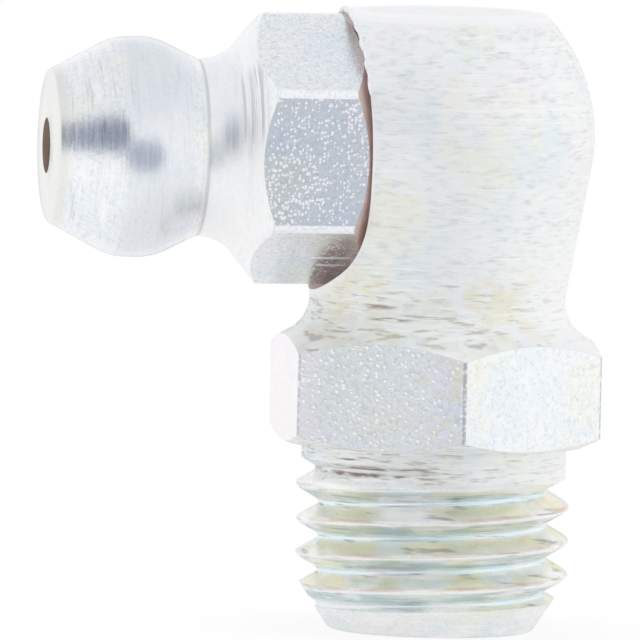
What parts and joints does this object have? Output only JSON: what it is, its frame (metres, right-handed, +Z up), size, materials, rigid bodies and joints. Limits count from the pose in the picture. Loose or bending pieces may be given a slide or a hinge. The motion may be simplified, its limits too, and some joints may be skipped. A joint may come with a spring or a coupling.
{
  "type": "grease nipple",
  "caption": "right-angle lubrication fitting: a threaded hexagon body with a rounded boss, and a ball-headed insert with a check valve standing out sideways from the boss",
  "frame": {"origin": "on the thread axis, in the plane of the body hexagon's underside, which seats on the machine", "axes": "+Z runs up the body away from the thread, -X runs out along the insert to the ball head, and +Y completes a right-handed frame"},
  "size_m": [0.0162, 0.0104, 0.0182],
  "materials": {
    "elbow_body": "machined free-cutting steel, bright zinc plated with a faint yellow and blue tinge",
    "nipple_head": "machined and hardened steel, bright zinc plated",
    "check_ball": "polished bearing steel",
    "ball_spring": "drawn spring wire"
  },
  "bodies": {
    "housing": {"elbow_body": "elbow_body", "nipple_head": "nipple_head", "ball_spring": "ball_spring"},
    "valve": {"check_ball": "check_ball"}
  },
  "joints": [
    {"name": "ball_travel", "type": "slide", "parent": "housing", "child": "valve", "axis": [1, 0, 0], "range_m": [0, 0.0008], "stiffness_N_per_m": 1970, "springref_m": -0.001, "deforming": ["ball_spring"]}
  ]
}
